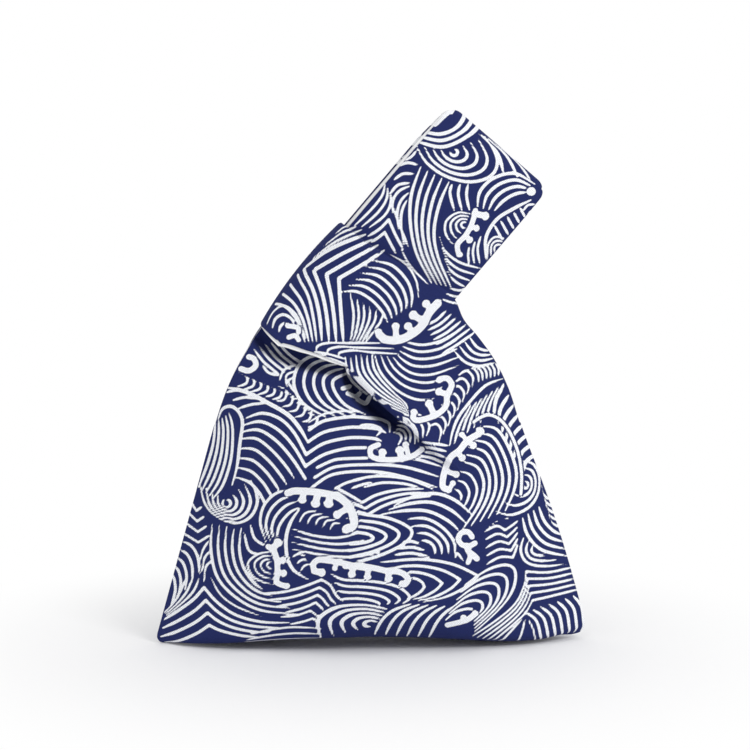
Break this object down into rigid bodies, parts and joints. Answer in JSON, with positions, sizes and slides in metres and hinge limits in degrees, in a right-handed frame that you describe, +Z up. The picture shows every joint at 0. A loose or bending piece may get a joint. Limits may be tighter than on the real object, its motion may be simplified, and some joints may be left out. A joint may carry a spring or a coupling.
{
  "type": "knot bag",
  "caption": "Small lined cotton knot bag with a wave print, closed by its long handle loop passed through its short one, standing filled out on its base",
  "frame": {"origin": "centre of the bottom seam, on the surface that the bag stands on", "axes": "+Z up, +X to the right as seen from the front with the long loop leaning to the right, +Y from the front to the back through the seams"},
  "size_m": [0.216, 0.0722, 0.2755],
  "materials": {
    "printed_cotton": "medium-weight cotton, navy with a white wave print, matt",
    "lining_cotton": "plain white cotton, matt"
  },
  "bodies": {
    "root": {"outer_front_panel": "printed_cotton", "outer_back_panel": "printed_cotton", "lining_front_panel": "lining_cotton", "lining_back_panel": "lining_cotton"}
  },
  "joints": []
}
